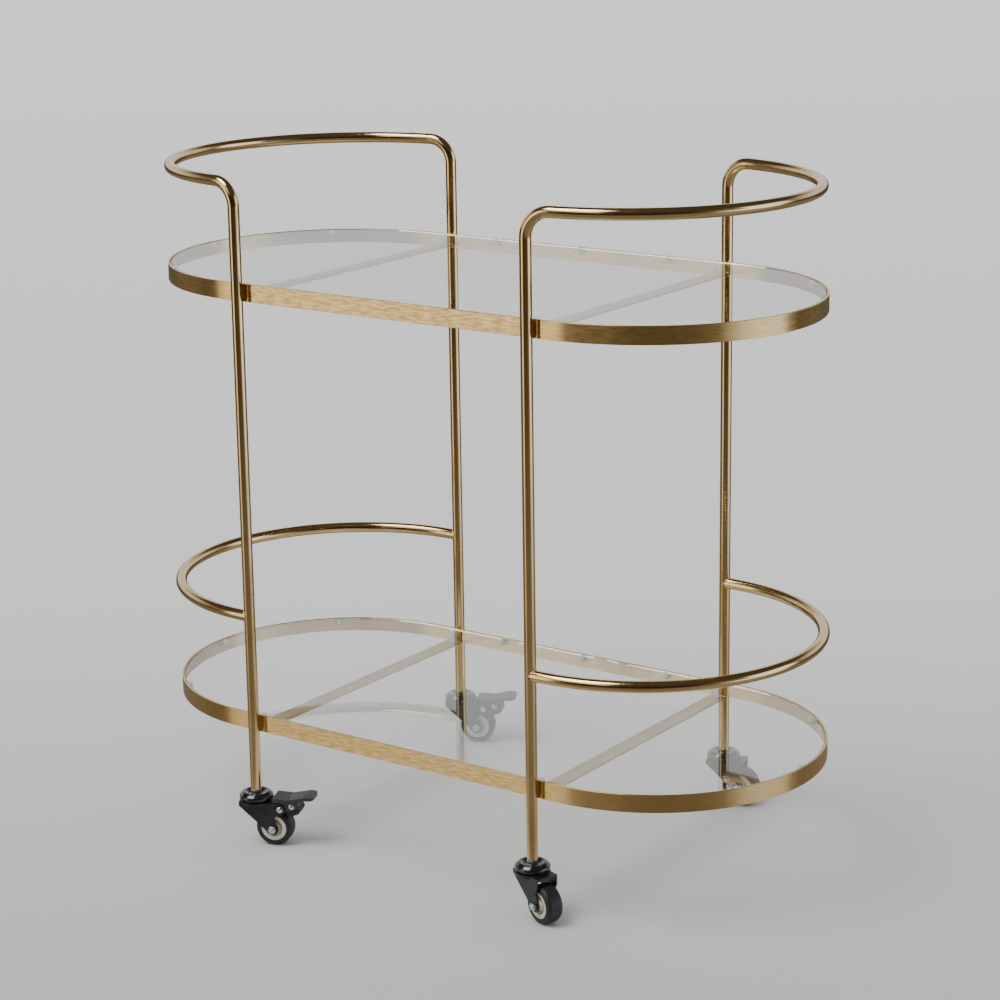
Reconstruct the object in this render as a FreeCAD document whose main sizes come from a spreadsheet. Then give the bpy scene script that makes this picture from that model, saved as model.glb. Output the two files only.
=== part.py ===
# Two-tier dessert trolley: brass tube end frames, flat-bar rims, glass shelves and four casters.
# Frame: +X along the length, +Y to the back, +Z up, origin on the floor. The drawing is laid out
# about the middle of the legs, and the files about the middle of the whole trolley.
import FreeCAD, Part
import math
import os
import re
import Sketcher

V = FreeCAD.Vector

doc = FreeCAD.newDocument("dessert_trolley")
sheet = doc.addObject("Spreadsheet::Sheet", "dims")

# ---------------------------------------------------------------------------
# Driving dimensions, in millimetres and degrees
# ---------------------------------------------------------------------------

DRIVING = (
    # end frames
    ("tube_d", 16, "outside diameter of all frame tube"),
    ("tube_wall", 1.2, "wall of the frame tube"),
    ("leg_x", 242, "leg axis to the middle, along the length"),
    ("leg_y", 252, "leg axis to the middle, across"),
    ("leg_foot", 82, "lower end of the legs above the floor"),
    ("handle_z", 961, "axis of the push handles above the floor"),
    ("bend_radius", 35, "axis radius of the bend from leg to handle"),
    ("bend_turn", 7, "how far each bend is turned in from straight out"),
    # guard rails
    ("guard_z", 342, "axis of the lower guard rails above the floor"),
    ("guard_stub", 15, "straight run of a guard rail before its half circle"),
    # shelf rims
    ("rim_height", 25, "height of the flat-bar rims"),
    ("rim_thick", 3, "thickness of the flat-bar rims"),
    ("rim_edge", 0.5, "rounding of the rim edges"),
    ("upper_run", 25, "leg axis to the centre of the upper rim's end arc"),
    ("lower_run", 34, "leg axis to the centre of the lower rim's end arc"),
    ("lower_top", 192, "top of the lower rim above the floor"),
    ("upper_top", 820, "top of the upper rim above the floor"),
    # saddles between legs and rims
    ("saddle_gap", 1, "gap between leg and rim, filled by a saddle"),
    ("saddle_width", 10, "width of a saddle"),
    ("saddle_height", 24, "height of a saddle"),
    ("saddle_depth", 3, "depth of a saddle from the rim to its wings"),
    # glass shelves and what carries them
    ("glass_thick", 5, "thickness of the shelf glass"),
    ("glass_lip", 0.5, "rim top down to the glass top"),
    ("glass_gap", 1, "gap between the glass edge and the rim"),
    ("glass_edge", 0.7, "arris ground on the glass edge"),
    ("pad_thick", 6, "height of the clear bumpers on the rest tabs"),
    ("bar_pad_d", 9, "diameter of a bumper on a crossbar"),
    ("bar_pad_inset", 11, "rim's inner face to a bumper's centre on a crossbar"),
    ("tab_pad_d", 8, "diameter of a bumper on a rest tab"),
    ("tab_pad_inset", 5.5, "rim's inner face to a bumper's centre on a rest tab"),
    ("bar_width", 25, "width of a crossbar"),
    ("bar_thick", 3, "thickness of a crossbar"),
    ("upper_bar", 19, "top of the upper rim down to the top of its crossbars"),
    ("lower_bar", 23.5, "top of the lower rim down to the top of its crossbars"),
    ("bar_end", 7.5, "rim top down to the top of a crossbar's turned-up ends"),
    ("bar_bend", 1.5, "inner bend radius of a crossbar"),
    ("tab_width", 12, "width of a rest tab along the rim"),
    ("tab_depth", 10, "depth of a rest tab"),
    ("tab_thick", 2, "thickness of a rest tab"),
    ("tab_bite", 1, "rough length of a rest tab trimmed off at the rim"),
    ("tab_pitch", 150, "pitch of the rest tabs along the straight rim"),
    ("tab_turn", 50, "angle of the outer rest tabs on the rim's end arcs"),
    # screws through crossbar, rim and saddle into the leg
    ("screw_d", 4, "diameter of the frame screws"),
    ("screw_hole", 4.4, "clearance hole of the frame screws"),
    ("screw_reach", 13, "length of a frame screw under its head"),
    ("screw_head_d", 7, "diameter of a frame screw's head"),
    ("screw_head", 2.2, "height of a frame screw's head"),
    ("socket_flats", 2.5, "hexagon socket of a frame screw across flats"),
    ("socket_depth", 1.4, "depth of the hexagon socket"),
    ("insert_d", 6, "outside diameter of the threaded inserts"),
    ("insert_sink", 0.8, "threaded insert's face below the leg's surface"),
    ("insert_reach", 6.2, "length of the threaded inserts"),
    # caster stem and swivel
    ("plug_reach", 25, "length of the plug in the leg's lower end"),
    ("stem_d", 10, "diameter of the caster stem"),
    ("stem_rise", 22, "stem length inside the leg"),
    ("stem_foot", 54, "lower end of the stem above the floor"),
    ("nut_flats", 15, "stem lock nut across flats"),
    ("kingpin_flats", 15, "kingpin nut across flats"),
    ("kingpin_nut", 6, "height of the kingpin nut"),
    ("swivel_play", 0.3, "end play of the fork above the kingpin nut"),
    ("cap_r", 24.5, "outside radius of the raceway cap"),
    ("cap_round", 4, "rounding of the raceway cap's shoulders"),
    ("cap_seat", 75, "top of the cap's middle above the floor"),
    ("cap_dish_r", 11, "radius of the cap's sunk middle"),
    ("cap_rise", 3.5, "how far the cap's crown stands above its middle"),
    ("cap_crown_in", 14, "inner radius of the cap's crown"),
    ("cap_crown_out", 19, "outer radius of the cap's crown"),
    ("cap_skirt", 69.5, "lower edge of the cap's skirt above the floor"),
    ("cap_wall", 2, "wall of the raceway cap"),
    ("ball_d", 5, "diameter of the swivel balls"),
    ("ball_ring_r", 16.5, "radius of the ring of swivel balls"),
    ("ball_play", 0.03, "play of a ball above and below"),
    ("ball_pitch", 30, "angle between neighbouring swivel balls"),
    # fork
    ("crown_z", 62, "underside of the fork crown above the floor"),
    ("crown_thick", 4, "thickness of the fork crown"),
    ("race_r", 20, "radius of the fork's lower race"),
    ("cheek_thick", 2.2, "thickness of a fork cheek"),
    ("cheek_gap", 29.6, "gap between the fork cheeks"),
    ("cheek_back", 22, "swivel axis to the back edge of a cheek"),
    ("cheek_front", 33, "swivel axis to the front edge of a cheek"),
    ("cheek_waist_x", 29.5, "swivel axis to the cheek's waist above the axle"),
    ("cheek_waist_z", 44, "cheek's waist above the floor"),
    ("axle_lobe_r", 8.5, "radius of a cheek around the axle"),
    ("pivot_lobe_r", 8, "radius of a cheek around the brake pivot"),
    ("bridge_front", 26, "swivel axis to the front of a braked fork's crown"),
    ("swivel_bore", 10.16, "bore of the fork on its kingpin"),
    # wheel
    ("trail", 28, "swivel axis to the axle"),
    ("wheel_d", 54, "diameter of the wheel"),
    ("wheel_width", 25, "width of the tyre"),
    ("tyre_shoulder", 6, "rounding of the tyre's shoulders"),
    ("core_r", 19, "radius of the wheel core"),
    ("core_width", 23, "width of the wheel core's ring"),
    ("ring_r", 13, "inner radius of the core's ring"),
    ("web_width", 7, "width of the core between hub and ring"),
    ("hub_r", 8, "radius of the hub"),
    ("hub_play", 0.3, "gap between hub and cheek"),
    ("hub_bore", 9.12, "bore of the hub on its bush"),
    ("bush_d", 9, "outside diameter of the axle bush"),
    ("axle_d", 6, "diameter of the axle bolt"),
    ("axle_flats", 10, "axle bolt head and nut across flats"),
    ("axle_head", 4, "height of the axle bolt's head"),
    ("axle_nut", 5, "height of the axle nut"),
    ("axle_tail", 1.2, "thread beyond the axle nut"),
    # brake
    ("pivot_x", 39, "swivel axis to the brake pivot"),
    ("pivot_z", 57, "brake pivot above the floor"),
    ("rivet_d", 5, "diameter of the brake's rivets"),
    ("pivot_bore", 5.12, "bore of the pedal on its pivot"),
    ("rivet_head_d", 9, "diameter of a rivet head"),
    ("rivet_head", 2, "height of a rivet head"),
    ("pedal_start", 28, "swivel axis to the pedal's inner edge"),
    ("pedal_bend", 66, "swivel axis to the outer ends of the pedal's flanges"),
    ("pedal_dip", 52, "swivel axis to the pedal's lowest line"),
    ("pedal_crest", 76, "swivel axis to the pedal's highest line"),
    ("pedal_tip", 89, "swivel axis to the pedal's tip"),
    ("pedal_top", 73, "top of the pedal's lowest line above the floor"),
    ("pedal_heel", 1.2, "rise of the pedal from its lowest line to its inner edge"),
    ("pedal_lift", 5.5, "rise of the pedal from its lowest line to its tip"),
    ("pedal_sweep", 12, "radius of the pedal's bends"),
    ("pedal_thick", 1.8, "thickness of the pedal's sheet"),
    ("pedal_lip", 5, "height of the pedal's turned-down edge"),
    ("pedal_width", 34, "width of the pedal's tread plate"),
    ("pedal_corner", 8, "corner radius of the pedal's tip"),
    ("flange_start", 33, "swivel axis to the inner edge of a pedal flange"),
    ("flange_gap", 25.6, "gap between the pedal's flanges"),
    ("flange_thick", 1.6, "thickness of a pedal flange"),
    ("flange_lobe_r", 6, "radius of a pedal flange around the pivot"),
    ("flange_foot", 60, "lower front corner of a pedal flange above the floor"),
    ("shoe_x", 56, "swivel axis to the shoe rivet"),
    ("shoe_z", 62, "shoe rivet above the floor"),
    ("shoe_back", 49, "swivel axis to the back of the brake shoe"),
    ("shoe_heel_z", 56, "lower end of the shoe's back above the floor"),
    ("shoe_toe_x", 54, "swivel axis to the shoe's toe"),
    ("shoe_toe_z", 46, "shoe's toe above the floor"),
    ("tooth_pitch", 3, "pitch of the shoe's teeth"),
    ("tooth_rise", 1.1, "rise of the shoe's underside per tooth"),
    ("tooth_depth", 1.3, "depth of the shoe's teeth"),
    # rest angles of the four casters about their stems
    ("turn_front_left", 22, "trailing direction of the front left caster"),
    ("turn_rear_left", 25, "trailing direction of the rear left caster"),
    ("turn_front_right", -20, "trailing direction of the front right caster"),
    ("turn_rear_right", 13, "trailing direction of the rear right caster"),
    # the turned casters reach further back than forward
    ("middle_y", 9, "middle of the whole trolley behind the middle of its legs"),
)

# Dimensions that follow from the driving ones
DERIVED = (
    ("tube_r", "tube_d / 2"),
    ("bore_r", "tube_d / 2 - tube_wall"),
    ("leg_straight", "handle_z - bend_radius - leg_foot"),
    ("handle_radius", "(leg_y - bend_radius * sin(bend_turn)) / cos(bend_turn)"),
    ("handle_x", "leg_x + bend_radius * cos(bend_turn) - handle_radius * sin(bend_turn)"),
    ("rim_r", "leg_y - tube_r - saddle_gap"),
    ("rim_inner_r", "rim_r - rim_thick"),
    ("upper_centre", "leg_x + upper_run"),
    ("lower_centre", "leg_x + lower_run"),
    ("glass_r", "rim_inner_r - glass_gap"),
    ("glass_base", "glass_lip + glass_thick"),
    ("rest_base", "glass_base + pad_thick"),
    ("screw_base", "rim_height / 2"),
    ("axle_z", "wheel_d / 2"),
    ("cheek_out", "cheek_gap + 2 * cheek_thick"),
    ("flange_out", "flange_gap + 2 * flange_thick"),
    ("crown_top", "crown_z + crown_thick"),
    ("cap_top", "cap_seat + cap_rise"),
    ("race_top", "cap_top - cap_wall - ball_d - 2 * ball_play"),
    ("ball_z", "race_top + ball_play + ball_d / 2"),
    ("stem_top", "leg_foot + stem_rise"),
    ("hub_width", "cheek_gap - 2 * hub_play"),
    ("pedal_under", "pedal_top - pedal_thick"),
    ("flange_rise", "pedal_lift * (pedal_bend - pedal_dip) / (pedal_crest - pedal_dip)"),
)

ALIASES = {entry[0] for entry in DRIVING + DERIVED}


def write_dimensions():
    """Puts every dimension in the sheet, the driving ones as plain numbers."""
    row = 1
    for alias, value, note in DRIVING:
        sheet.set(f"A{row}", note)
        sheet.set(f"B{row}", str(value))
        sheet.setAlias(f"B{row}", alias)
        row += 1
    for alias, formula in DERIVED:
        sheet.set(f"A{row}", "follows from the others")
        sheet.set(f"B{row}", "=" + formula)
        sheet.setAlias(f"B{row}", alias)
        row += 1
    doc.recompute()


write_dimensions()


def cell(formula):
    """A formula on the sheet's aliases, as an expression for an object of the document."""
    return re.sub("[a-z_]+", lambda word: "dims." + word[0] if word[0] in ALIASES else word[0], formula)


def value_of(formula):
    """The number that a formula gives now."""
    return float(sheet.evalExpression(cell(formula)))


# ---------------------------------------------------------------------------
# Solids tied to the dimensions
# ---------------------------------------------------------------------------

NODES = []


def node(label, thing):
    """Gives a finished sub-part the name of its file."""
    thing.Label = label
    NODES.append(thing)
    return thing


def bind(thing, **formulas):
    """Ties properties of an object to formulas on the dimensions."""
    for prop, formula in formulas.items():
        thing.setExpression(prop, cell(formula))
    return thing


def place(thing, x="0", y="0", z="0", yaw="0", roll="0"):
    """Ties a placement: a point, a turn about Z, and before it a turn about X."""
    point = f"vector({cell(x)}; {cell(y)}; {cell(z)})"
    turn = f"rotation({cell(yaw)}; 0; {cell(roll)})"
    thing.setExpression("Placement", f"placement({point}; {turn})")
    return thing


def cylinder(name, radius, height, **where):
    rod = bind(doc.addObject("Part::Cylinder", name), Radius=radius, Height=height)
    return place(rod, **where)


def torus_arc(name, big, small, sweep, **where):
    ring = bind(doc.addObject("Part::Torus", name), Radius1=big, Radius2=small, Angle3=sweep)
    return place(ring, **where)


def hexagon(name, flats, height, **where):
    prism = doc.addObject("Part::Prism", name)
    prism.Polygon = 6
    bind(prism, Circumradius=f"({flats}) / (2 * cos(30))", Height=height)
    return place(prism, **where)


def box(name, long, wide, high, **where):
    block = bind(doc.addObject("Part::Box", name), Length=long, Width=wide, Height=high)
    return place(block, **where)


def dome(name, flat_d, height, seat, up=True):
    """A spherical cap on the plane z = seat, rising or hanging from it."""
    ball = f"(({flat_d}) ^ 2 / 4 + ({height}) ^ 2) / (2 * ({height}))"
    cap = bind(doc.addObject("Part::Sphere", name), Radius=ball, Angle1=f"asin(1 - ({height}) / ({ball}))")
    side = "-" if up else "+"
    return place(cap, z=f"({seat}) {side} (({ball}) - ({height}))", roll="0" if up else "180")


def fuse(name, shapes):
    joined = doc.addObject("Part::MultiFuse", name)
    joined.Shapes = shapes
    return joined


def cut(name, base, tool):
    rest = doc.addObject("Part::Cut", name)
    rest.Base = base
    rest.Tool = tool
    return rest


def group(name, shapes):
    """Like pieces that share a node, each a separate solid."""
    several = doc.addObject("Part::Compound", name)
    several.Links = shapes
    return several


# ---------------------------------------------------------------------------
# Sketches and bodies tied to the dimensions
# ---------------------------------------------------------------------------

def new_body(name):
    return doc.addObject("PartDesign::Body", name)


def new_sketch(body, name, role):
    """A sketch on one of the body's own origin planes."""
    sketch = body.newObject("Sketcher::SketchObject", name)
    plane = [feature for feature in body.Origin.OriginFeatures if feature.Role == role][0]
    sketch.AttachmentSupport = [(plane, "")]
    sketch.MapMode = "FlatFace"
    return sketch


def pin(sketch, index, corner, x, y):
    """Ties the two coordinates of one sketch point to formulas."""
    for kind, formula in (("DistanceX", x), ("DistanceY", y)):
        number = sketch.addConstraint(Sketcher.Constraint(kind, -1, 1, index, corner, value_of(formula)))
        sketch.setExpression(f"Constraints[{number}]", cell(formula))


def circle(sketch, radius, x="0", y="0"):
    """A circle with its radius and centre tied to formulas."""
    ring = Part.Circle(V(value_of(x), value_of(y), 0), V(0, 0, 1), value_of(radius))
    index = sketch.addGeometry(ring, False)
    number = sketch.addConstraint(Sketcher.Constraint("Radius", index, value_of(radius)))
    sketch.setExpression(f"Constraints[{number}]", cell(radius))
    pin(sketch, index, 3, x, y)


def polygon(sketch, points):
    """A closed polygon whose corners are tied to formulas."""
    corners = [V(value_of(x), value_of(y), 0) for x, y in points]
    count = len(corners)
    for index in range(count):
        sketch.addGeometry(Part.LineSegment(corners[index], corners[(index + 1) % count]), False)
    for index in range(count):
        sketch.addConstraint(Sketcher.Constraint("Coincident", index, 2, (index + 1) % count, 1))
    for index, (x, y) in enumerate(points):
        pin(sketch, index, 1, x, y)


def racetrack(sketch, centre, radius):
    """Two half circles about centres on the X axis, joined by straight runs."""
    c = value_of(centre)
    r = value_of(radius)
    turn = math.pi / 2
    up = V(0, 0, 1)
    right = sketch.addGeometry(Part.ArcOfCircle(Part.Circle(V(c, 0, 0), up, r), -turn, turn))
    back = sketch.addGeometry(Part.LineSegment(V(c, r, 0), V(-c, r, 0)))
    left = sketch.addGeometry(Part.ArcOfCircle(Part.Circle(V(-c, 0, 0), up, r), turn, 3 * turn))
    front = sketch.addGeometry(Part.LineSegment(V(-c, -r, 0), V(c, -r, 0)))
    for one, other in ((right, back), (back, left), (left, front), (front, right)):
        sketch.addConstraint(Sketcher.Constraint("Tangent", one, 2, other, 1))
    pin(sketch, right, 3, centre, "0")
    pin(sketch, left, 3, f"-({centre})", "0")
    number = sketch.addConstraint(Sketcher.Constraint("Radius", right, r))
    sketch.setExpression(f"Constraints[{number}]", cell(radius))


def pad(body, sketch, length, midplane=False):
    feature = body.newObject("PartDesign::Pad", sketch.Name + "_pad")
    feature.Profile = sketch
    feature.Midplane = midplane
    bind(feature, Length=length)
    sketch.Visibility = False
    return feature


def pocket(body, sketch, length):
    """Cuts a sketch to both sides of its plane and makes sure that material went away."""
    doc.recompute()
    before = body.Shape.Volume
    feature = body.newObject("PartDesign::Pocket", sketch.Name + "_cut")
    feature.Profile = sketch
    feature.Midplane = True
    bind(feature, Length=length)
    doc.recompute()
    if body.Shape.Volume > before - 0.001:
        raise RuntimeError(sketch.Name + " cut nothing")
    return feature


def turned(body, name, points):
    """Revolves a profile of radii and heights about the body's Z axis."""
    sketch = new_sketch(body, name, "XZ_Plane")
    polygon(sketch, points)
    feature = body.newObject("PartDesign::Revolution", name + "_turned")
    feature.Profile = sketch
    feature.ReferenceAxis = (sketch, ["V_Axis"])
    feature.Angle = 360
    return feature


def ease(body, kind, prop, formula, wanted):
    """Rounds or bevels the edges of the body that the test accepts."""
    doc.recompute()
    base = body.Tip
    names = [f"Edge{n}" for n, edge in enumerate(base.Shape.Edges, start=1) if wanted(edge.BoundBox)]
    feature = body.newObject(kind, f"{body.Name}_{kind.split('::')[1].lower()}")
    feature.Base = (base, names)
    feature.setExpression(prop, cell(formula))
    doc.recompute()
    return feature


CORNERS = (
    ("front_left", "-1", "-1", True),
    ("rear_left", "-1", "1", True),
    ("front_right", "1", "-1", False),
    ("rear_right", "1", "1", False),
)
TIERS = (("upper", "upper_top"), ("lower", "lower_top"))
SIDES = (("left", "-1", "180"), ("right", "1", "0"))
LANES = (("front", "-1"), ("rear", "1"))

# Every place where a crossbar end, a rim and a leg are screwed together
JOINTS = [(f"{tier}_{side}_{lane}", top, sign, across)
          for tier, top in TIERS for side, sign, facing in SIDES for lane, across in LANES]


def outward(across):
    """The turn about X that lays a Z axis along Y, away from the middle of the trolley."""
    return f"-90 * ({across})"


# ---------------------------------------------------------------------------
# End frames: each one bent tube, leg, push handle and leg
# ---------------------------------------------------------------------------

def bent_tube(name, side, sign, facing, radius):
    """The run of one end frame at one radius: two legs, two bends and the wide handle arc."""
    pieces = []
    for lane, across in LANES:
        leg = cylinder(f"{name}_{lane}_leg", radius, "leg_straight",
                       x=f"{sign} * leg_x", y=f"{across} * leg_y", z="leg_foot")
        bend = torus_arc(f"{name}_{lane}_bend", "bend_radius", radius, "90",
                         x=f"{sign} * (leg_x + bend_radius * cos(bend_turn))",
                         y=f"{across} * (leg_y - bend_radius * sin(bend_turn))",
                         z="handle_z - bend_radius",
                         yaw=f"{facing} + 180 - ({sign}) * ({across}) * bend_turn", roll="90")
        pieces += [leg, bend]
    pieces.append(torus_arc(f"{name}_handle", "handle_radius", radius, "180 - 2 * bend_turn",
                            x=f"{sign} * handle_x", z="handle_z", yaw=f"{facing} - 90 + bend_turn"))
    return fuse(name, pieces)


for side, sign, facing in SIDES:
    walls = bent_tube(f"tube_{side}", side, sign, facing, "tube_r")
    hollow = bent_tube(f"bore_{side}", side, sign, facing, "bore_r")
    holes = [cylinder(f"insert_hole_{name}", "insert_d / 2", "tube_d",
                      x=f"{sign} * leg_x", y=f"{across} * leg_y", z=f"{top} - screw_base",
                      roll=f"90 * ({across})")
             for name, top, where, across in JOINTS if where == sign]
    node(f"{side}_end_frame", cut(f"end_frame_{side}", cut(f"open_tube_{side}", walls, hollow),
                                  group(f"insert_holes_{side}", holes)))

# ---------------------------------------------------------------------------
# Guard rails: a half circle of tube with both ends coped to the legs
# ---------------------------------------------------------------------------

for side, sign, facing in SIDES:
    runs = {}
    for name, radius in (("rail", "tube_r"), ("rail_bore", "bore_r")):
        arc = torus_arc(f"{name}_{side}_arc", "leg_y", radius, "180",
                        x=f"{sign} * (leg_x + guard_stub)", z="guard_z", yaw=f"{facing} - 90")
        ends = []
        for lane, across in LANES:
            end = cylinder(f"{name}_{side}_{lane}", radius, "guard_stub",
                           x=f"{sign} * leg_x", y=f"{across} * leg_y", z="guard_z",
                           yaw=f"90 * ({sign})", roll="90")
            ends.append(end)
        runs[name] = fuse(f"{name}_{side}", [arc] + ends)
    legs = [cylinder(f"cope_{side}_{lane}", "tube_r", "4 * tube_r",
                     x=f"{sign} * leg_x", y=f"{across} * leg_y", z="guard_z - 2 * tube_r")
            for lane, across in LANES]
    tools = group(f"rail_cuts_{side}", legs)
    node(f"{side}_guard_rail", cut(f"guard_rail_{side}", cut(f"open_rail_{side}", runs["rail"],
                                                             runs["rail_bore"]), tools))

# ---------------------------------------------------------------------------
# Rims and glass shelves, one of each per tier
# ---------------------------------------------------------------------------

RIMS = []
for tier, top in TIERS:
    rim = new_body(f"rim_{tier}")
    outline = new_sketch(rim, f"rim_{tier}_outline", "XY_Plane")
    racetrack(outline, f"{tier}_centre", "rim_r")
    pad(rim, outline, "rim_height")
    inside = new_sketch(rim, f"rim_{tier}_inside", "XY_Plane")
    racetrack(inside, f"{tier}_centre", "rim_inner_r")
    pocket(rim, inside, "4 * rim_height")
    ease(rim, "PartDesign::Fillet", "Radius", "rim_edge", lambda edge: edge.ZLength < 0.001)
    drilled = new_sketch(rim, f"rim_{tier}_drilled", "XZ_Plane")
    circle(drilled, "screw_hole / 2", "leg_x", "rim_height - screw_base")
    circle(drilled, "screw_hole / 2", "-leg_x", "rim_height - screw_base")
    pocket(rim, drilled, "2 * leg_y")
    place(rim, z=f"{top} - rim_height")
    RIMS.append(node(f"{tier}_rim", rim))

    glass = new_body(f"glass_{tier}")
    plate = new_sketch(glass, f"glass_{tier}_outline", "XY_Plane")
    racetrack(plate, f"{tier}_centre", "glass_r")
    pad(glass, plate, "glass_thick")
    ease(glass, "PartDesign::Chamfer", "Size", "glass_edge", lambda edge: edge.ZLength < 0.001)
    place(glass, z=f"{top} - glass_base")
    node(f"{tier}_glass", glass)

# ---------------------------------------------------------------------------
# Crossbars: flat bar from rim to rim at the legs, ends turned up
# ---------------------------------------------------------------------------

for tier, top in TIERS:
    for side, sign, facing in SIDES:
        bar = new_body(f"bar_{tier}_{side}")
        profile = new_sketch(bar, f"bar_{tier}_{side}_profile", "YZ_Plane")
        polygon(profile, (
            ("-rim_inner_r", "-bar_thick"),
            ("rim_inner_r", "-bar_thick"),
            ("rim_inner_r", f"{tier}_bar - bar_end"),
            ("rim_inner_r - bar_thick", f"{tier}_bar - bar_end"),
            ("rim_inner_r - bar_thick", "0"),
            ("-rim_inner_r + bar_thick", "0"),
            ("-rim_inner_r + bar_thick", f"{tier}_bar - bar_end"),
            ("-rim_inner_r", f"{tier}_bar - bar_end"),
        ))
        pad(bar, profile, "bar_width", midplane=True)
        ease(bar, "PartDesign::Fillet", "Radius", "bar_bend",
             lambda edge: edge.XLength > 1 and edge.YLength < 0.001 and -0.5 < edge.ZMin < 0.5)
        ease(bar, "PartDesign::Fillet", "Radius", "bar_bend + bar_thick",
             lambda edge: edge.XLength > 1 and edge.YLength < 0.001 and edge.ZMin < -2)
        drilled = new_sketch(bar, f"bar_{tier}_{side}_drilled", "XZ_Plane")
        circle(drilled, "screw_hole / 2", "0", f"{tier}_bar - screw_base")
        pocket(bar, drilled, "2 * leg_y")
        place(bar, x=f"{sign} * leg_x", z=f"{top} - {tier}_bar")
        node(f"{tier}_{side}_crossbar", bar)

# ---------------------------------------------------------------------------
# Rest tabs welded inside the rims, and the clear bumpers under the glass on tabs and crossbars
# ---------------------------------------------------------------------------

STATIONS = [(f"{step} * tab_pitch", turn) for step in ("-1", "0", "1") for turn in ("-90", "90")]
STATIONS += [("{tier}_centre", turn) for turn in ("-tab_turn", "0", "tab_turn")]
STATIONS += [("-{tier}_centre", turn) for turn in ("180 - tab_turn", "180", "180 + tab_turn")]

tabs = []
pads = []
for tier, top in TIERS:
    for number, (station, turn) in enumerate(STATIONS, start=1):
        centre = station.format(tier=tier)
        reach = "(rim_inner_r - tab_depth)"
        tabs.append(box(f"tab_{tier}_{number}", "tab_depth + tab_bite", "tab_width", "tab_thick",
                        x=f"{centre} + {reach} * cos({turn}) + tab_width / 2 * sin({turn})",
                        y=f"{reach} * sin({turn}) - tab_width / 2 * cos({turn})",
                        z=f"{top} - rest_base - tab_thick", yaw=turn))
        pads.append(cylinder(f"pad_{tier}_{number}", "tab_pad_d / 2", "pad_thick",
                             x=f"{centre} + (rim_inner_r - tab_pad_inset) * cos({turn})",
                             y=f"(rim_inner_r - tab_pad_inset) * sin({turn})",
                             z=f"{top} - rest_base"))
    for side, sign, facing in SIDES:
        for lane, across in LANES:
            pads.append(cylinder(f"pad_{tier}_{side}_{lane}", "bar_pad_d / 2", f"{tier}_bar - glass_base",
                                 x=f"{sign} * leg_x", y=f"{across} * (rim_inner_r - bar_pad_inset)",
                                 z=f"{top} - {tier}_bar"))

node("rest_tabs", cut("trimmed_tabs", group("rough_tabs", tabs), group("rim_walls", RIMS)))
node("glass_pads", group("pad_set", pads))

# ---------------------------------------------------------------------------
# Saddles, threaded inserts and frame screws at the eight rim-to-leg joints
# ---------------------------------------------------------------------------

saddle_blocks = []
saddle_cuts = []
insert_rods = []
insert_bores = []
for name, top, sign, across in JOINTS:
    here = {"x": f"{sign} * leg_x", "y": f"{across} * leg_y", "roll": f"90 * ({across})"}
    saddle_blocks.append(box(f"saddle_{name}", "saddle_width", "saddle_depth", "saddle_height",
                             x=f"{sign} * leg_x - saddle_width / 2",
                             y=f"{across} * (rim_r + saddle_depth / 2) - saddle_depth / 2",
                             z=f"{top} - rim_height / 2 - saddle_height / 2"))
    saddle_cuts.append(cylinder(f"saddle_leg_{name}", "tube_r", "2 * saddle_height",
                                x=f"{sign} * leg_x", y=f"{across} * leg_y",
                                z=f"{top} - rim_height / 2 - saddle_height"))
    saddle_cuts.append(cylinder(f"saddle_hole_{name}", "screw_hole / 2", "tube_d",
                                z=f"{top} - screw_base", **here))
    end = f"{across} * (leg_y - tube_r + insert_sink + insert_reach)"
    insert_rods.append(cylinder(f"insert_{name}", "insert_d / 2", "insert_reach",
                                x=f"{sign} * leg_x", y=end, z=f"{top} - screw_base", roll=here["roll"]))
    insert_bores.append(cylinder(f"insert_bore_{name}", "screw_d / 2", "2 * tube_d",
                                 x=f"{sign} * leg_x", y=f"{across} * (leg_y + tube_r)",
                                 z=f"{top} - screw_base", roll=here["roll"]))

node("saddle_spacers", cut("saddles", group("saddle_block_set", saddle_blocks),
                           group("saddle_cut_set", saddle_cuts)))
node("threaded_inserts", cut("inserts", group("insert_rod_set", insert_rods),
                             group("insert_bore_set", insert_bores)))

# One screw along Z with its head's seat at z = 0, then a copy of it at each joint
screw_shank = cylinder("screw_shank", "screw_d / 2", "screw_reach")
screw_dome = dome("screw_dome", "screw_head_d", "screw_head", "0", up=False)
screw_socket = hexagon("screw_socket", "socket_flats", "socket_depth", z="-screw_head")
screw = cut("screw", fuse("screw_blank", [screw_shank, screw_dome]), screw_socket)
screws = [place(group(f"screw_{name}", [screw]), x=f"{sign} * leg_x",
                y=f"{across} * (rim_inner_r - bar_thick)", z=f"{top} - screw_base", roll=outward(across))
          for name, top, sign, across in JOINTS]
node("frame_screws", group("screw_set", screws))

# ---------------------------------------------------------------------------
# Caster pieces fixed to the legs, modelled on the Z axis and copied to each leg
# ---------------------------------------------------------------------------

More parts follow.
